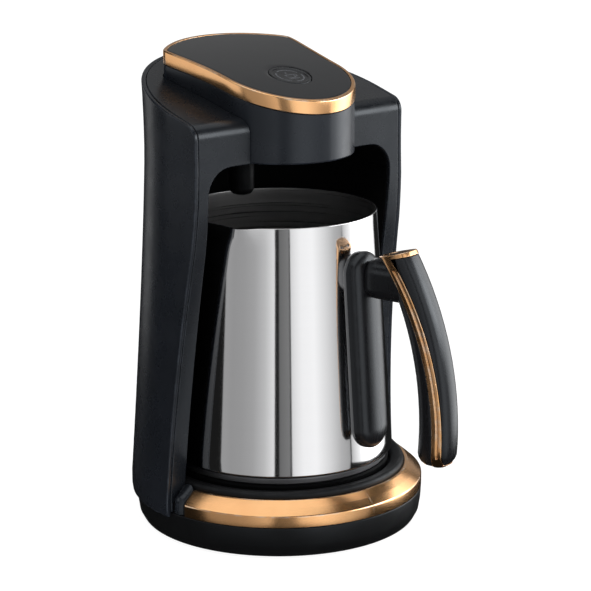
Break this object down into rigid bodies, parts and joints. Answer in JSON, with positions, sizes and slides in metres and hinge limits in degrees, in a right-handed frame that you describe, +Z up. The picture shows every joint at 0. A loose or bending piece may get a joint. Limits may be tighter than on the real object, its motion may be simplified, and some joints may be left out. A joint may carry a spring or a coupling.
{
  "type": "electric turkish coffee maker",
  "caption": "Round black base with heating plate, C-shaped column and tongue-shaped head over a tapered steel pot with a curved grip; rose-gold trim, round press button.",
  "frame": {"origin": "middle of the base, on the plane that the rubber feet stand on", "axes": "+Z up, -Y to the front, where the pot comes out, +X to the right as seen from the front"},
  "size_m": [0.1552, 0.1849, 0.2474],
  "materials": {
    "satin_black": "satin moulded plastic",
    "dark_grey": "fine satin moulded plastic",
    "gloss_black": "polished",
    "soft_black": "smooth satin",
    "rose_gold": "polished rose-gold plating",
    "stainless": "polished outside, brushed inside",
    "zinc_steel": "zinc plated",
    "plate_alloy": "machined",
    "element_steel": "heat tinted",
    "ceramic": "glazed",
    "rubber": "matt",
    "lens": "dark smoked, clear",
    "board_green": "solder mask",
    "relay_blue": "moulded",
    "wire_red": "insulation",
    "switch_grey": "moulded"
  },
  "bodies": {
    "machine": {"base_housing": "satin_black", "base_ring_trim": "rose_gold", "seat_ring": "soft_black", "bottom_cover": "satin_black", "rubber_feet": "rubber", "housing_screws": "zinc_steel", "cord_gland": "soft_black", "terminal_block": "ceramic", "heating_plate": "plate_alloy", "heating_element": "element_steel", "plate_clamp": "zinc_steel", "thermostat": "ceramic", "thermal_fuse": "ceramic", "wiring_loom": "wire_red", "column_screws": "zinc_steel", "rear_shell": "satin_black", "front_frame": "dark_grey", "frame_screws": "zinc_steel", "bay_liner": "dark_grey", "head_housing": "satin_black", "head_bottom_cover": "dark_grey", "head_screws": "zinc_steel", "overflow_sensor": "soft_black", "sensor_lens": "lens", "control_board": "board_green", "relay": "relay_blue", "buzzer": "gloss_black", "head_band": "rose_gold", "top_panel": "gloss_black", "button_board": "board_green", "start_switch": "switch_grey", "button_spring": "zinc_steel"},
    "button": {"start_button": "gloss_black", "switch_plunger": "switch_grey"},
    "pot": {"pot_shell": "stainless", "pot_base_disc": "plate_alloy", "handle_bracket": "stainless", "handle_plate": "gloss_black", "handle_screw": "zinc_steel", "handle_arm": "gloss_black", "grip_inner": "gloss_black", "grip_band": "rose_gold", "grip_outer": "gloss_black", "grip_top_insert": "soft_black"}
  },
  "joints": [
    {"name": "pot_lift", "type": "slide", "parent": "machine", "child": "pot", "axis": [0, -0.9945, 0.1045], "range_m": [0, 0.16]},
    {"name": "button_press", "type": "slide", "parent": "machine", "child": "button", "axis": [0, 0.2478, -0.9688], "range_m": [0, 0.001], "stiffness_N_per_m": 600, "springref_m": -0.001, "deforming": ["button_spring"]}
  ]
}
